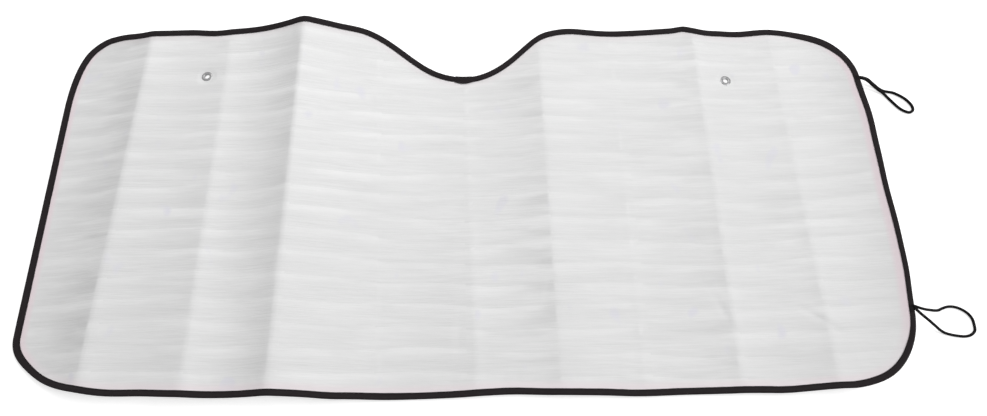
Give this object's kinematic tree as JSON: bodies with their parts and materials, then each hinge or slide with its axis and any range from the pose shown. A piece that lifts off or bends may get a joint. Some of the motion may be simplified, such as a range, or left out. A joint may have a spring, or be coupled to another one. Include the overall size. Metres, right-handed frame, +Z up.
{
  "type": "car windscreen sunshade",
  "caption": "Pleated white foam windscreen sunshade, opened out: rounded corners, mirror notch, black bound edge, metal eyelets and elastic closing loops.",
  "frame": {"origin": "middle of the shade in plan, on the surface that it lies on", "axes": "+X along the width towards the side with the elastic loops, +Y towards the mirror notch, +Z up out of the face"},
  "size_m": [1.3822, 0.613, 0.064],
  "materials": {
    "sheet_film": "satin, faintly ribbed",
    "binding_tape": "woven, matt",
    "eyelet_metal": "bright plated",
    "elastic_cord": "braided, matt"
  },
  "bodies": {
    "root": {"shade_panel": "sheet_film", "edge_binding": "binding_tape", "eyelet_left": "eyelet_metal", "eyelet_right": "eyelet_metal", "eyelet_washer_left": "eyelet_metal", "eyelet_washer_right": "eyelet_metal", "elastic_loop_upper": "elastic_cord", "elastic_loop_lower": "elastic_cord"}
  },
  "joints": []
}
